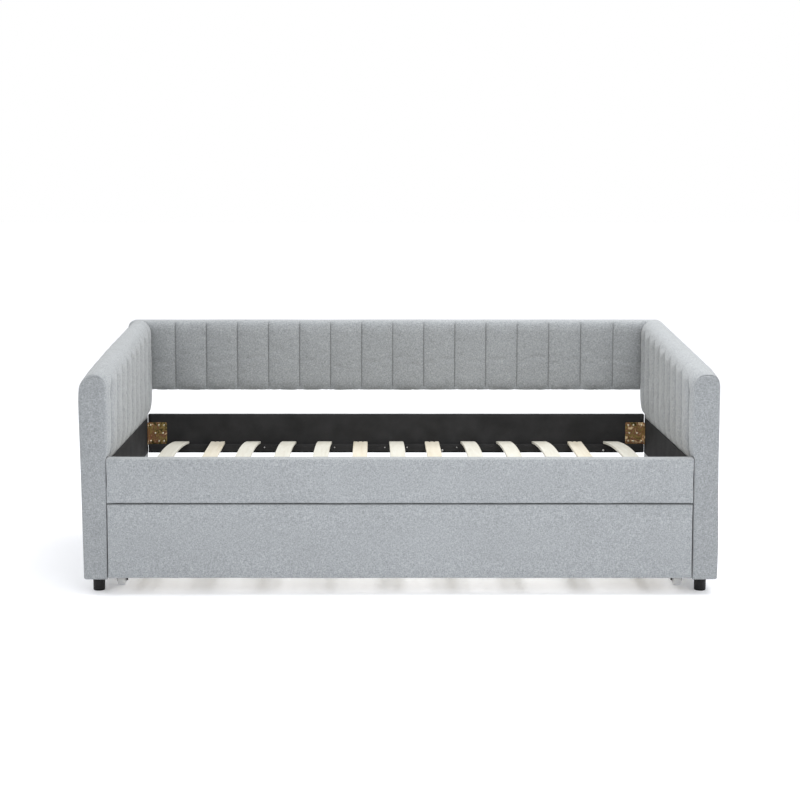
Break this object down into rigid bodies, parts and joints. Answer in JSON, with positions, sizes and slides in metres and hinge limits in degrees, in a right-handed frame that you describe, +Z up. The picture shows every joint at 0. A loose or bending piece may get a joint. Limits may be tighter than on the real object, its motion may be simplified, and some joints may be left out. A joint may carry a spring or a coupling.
{
  "type": "trundle bed",
  "caption": "Upholstered daybed with channelled arms and back over sprung slats, and a second slatted bed on wheels that rolls out from under its front rail.",
  "frame": {"origin": "on the floor, under the middle of the bed's bounding box", "axes": "+X along the bed to its right end seen from the front, +Y from the front to the back panel, +Z up"},
  "size_m": [2.1, 1.135, 0.8197],
  "materials": {
    "grey_upholstery": "light grey woven linen-look upholstery fabric",
    "black_lining": "black non-woven lining",
    "slat_wood": "pale bent birch veneer, sanded",
    "board_wood": "plain pine and plywood boards",
    "bronze_plate": "yellow-passivated steel plate, bronze tint",
    "zinc_steel": "zinc-plated steel",
    "black_plastic": "black moulded plastic",
    "clear_plastic": "pale translucent plastic"
  },
  "bodies": {
    "bed": {"left_arm_upholstery": "grey_upholstery", "left_arm_core": "board_wood", "left_arm_lining": "black_lining", "right_arm_upholstery": "grey_upholstery", "right_arm_core": "board_wood", "right_arm_lining": "black_lining", "front_left_foot": "black_plastic", "rear_left_foot": "black_plastic", "front_right_foot": "black_plastic", "rear_right_foot": "black_plastic", "back_panel_upholstery": "grey_upholstery", "back_panel_board": "board_wood", "back_panel_rear_cover": "grey_upholstery", "front_rail_upholstery": "grey_upholstery", "front_rail_board": "board_wood", "front_cleat": "board_wood", "back_rail_board": "black_lining", "back_rail_cover": "grey_upholstery", "rear_cleat": "black_lining", "front_left_corner_plate": "bronze_plate", "rear_left_corner_plate": "bronze_plate", "front_right_corner_plate": "bronze_plate", "rear_right_corner_plate": "bronze_plate", "bed_slat_01": "slat_wood", "bed_slat_02": "slat_wood", "bed_slat_03": "slat_wood", "bed_slat_04": "slat_wood", "bed_slat_05": "slat_wood", "bed_slat_06": "slat_wood", "bed_slat_07": "slat_wood", "bed_slat_08": "slat_wood", "bed_slat_09": "slat_wood", "bed_slat_10": "slat_wood", "bed_slat_11": "slat_wood", "bed_slat_12": "slat_wood", "bed_slat_13": "slat_wood"},
    "trundle": {"trundle_front_upholstery": "grey_upholstery", "trundle_front_board": "board_wood", "trundle_left_rail": "board_wood", "trundle_right_rail": "board_wood", "trundle_back_rail": "board_wood", "trundle_front_cleat": "board_wood", "trundle_rear_cleat": "board_wood", "trundle_slat_1": "slat_wood", "trundle_slat_2": "slat_wood", "trundle_slat_3": "slat_wood", "trundle_slat_4": "slat_wood", "trundle_slat_5": "slat_wood", "trundle_slat_6": "slat_wood", "trundle_slat_7": "slat_wood", "trundle_slat_8": "slat_wood", "trundle_slat_9": "slat_wood", "front_left_wheel_fork": "zinc_steel", "rear_left_wheel_fork": "zinc_steel", "front_right_wheel_fork": "zinc_steel", "rear_right_wheel_fork": "zinc_steel"},
    "front_left_wheel": {"front_left_wheel": "clear_plastic"},
    "rear_left_wheel": {"rear_left_wheel": "clear_plastic"},
    "front_right_wheel": {"front_right_wheel": "clear_plastic"},
    "rear_right_wheel": {"rear_right_wheel": "clear_plastic"}
  },
  "joints": [
    {"name": "trundle_slide", "type": "slide", "parent": "bed", "child": "trundle", "axis": [0, -1, 0], "range_m": [0, 1]},
    {"name": "front_left_wheel_spin", "type": "hinge", "parent": "trundle", "child": "front_left_wheel", "pos_m": [-0.9395, -0.4175, 0.02], "axis": [1, 0, 0], "continuous": true},
    {"name": "rear_left_wheel_spin", "type": "hinge", "parent": "trundle", "child": "rear_left_wheel", "pos_m": [-0.9395, 0.3625, 0.02], "axis": [1, 0, 0], "continuous": true},
    {"name": "front_right_wheel_spin", "type": "hinge", "parent": "trundle", "child": "front_right_wheel", "pos_m": [0.9395, -0.4175, 0.02], "axis": [1, 0, 0], "continuous": true},
    {"name": "rear_right_wheel_spin", "type": "hinge", "parent": "trundle", "child": "rear_right_wheel", "pos_m": [0.9395, 0.3625, 0.02], "axis": [1, 0, 0], "continuous": true}
  ],
  "couplings": [
    {"joint": "front_left_wheel_spin", "follows": "trundle_slide", "rad_per_m": 50},
    {"joint": "rear_left_wheel_spin", "follows": "trundle_slide", "rad_per_m": 50},
    {"joint": "front_right_wheel_spin", "follows": "trundle_slide", "rad_per_m": 50},
    {"joint": "rear_right_wheel_spin", "follows": "trundle_slide", "rad_per_m": 50}
  ]
}
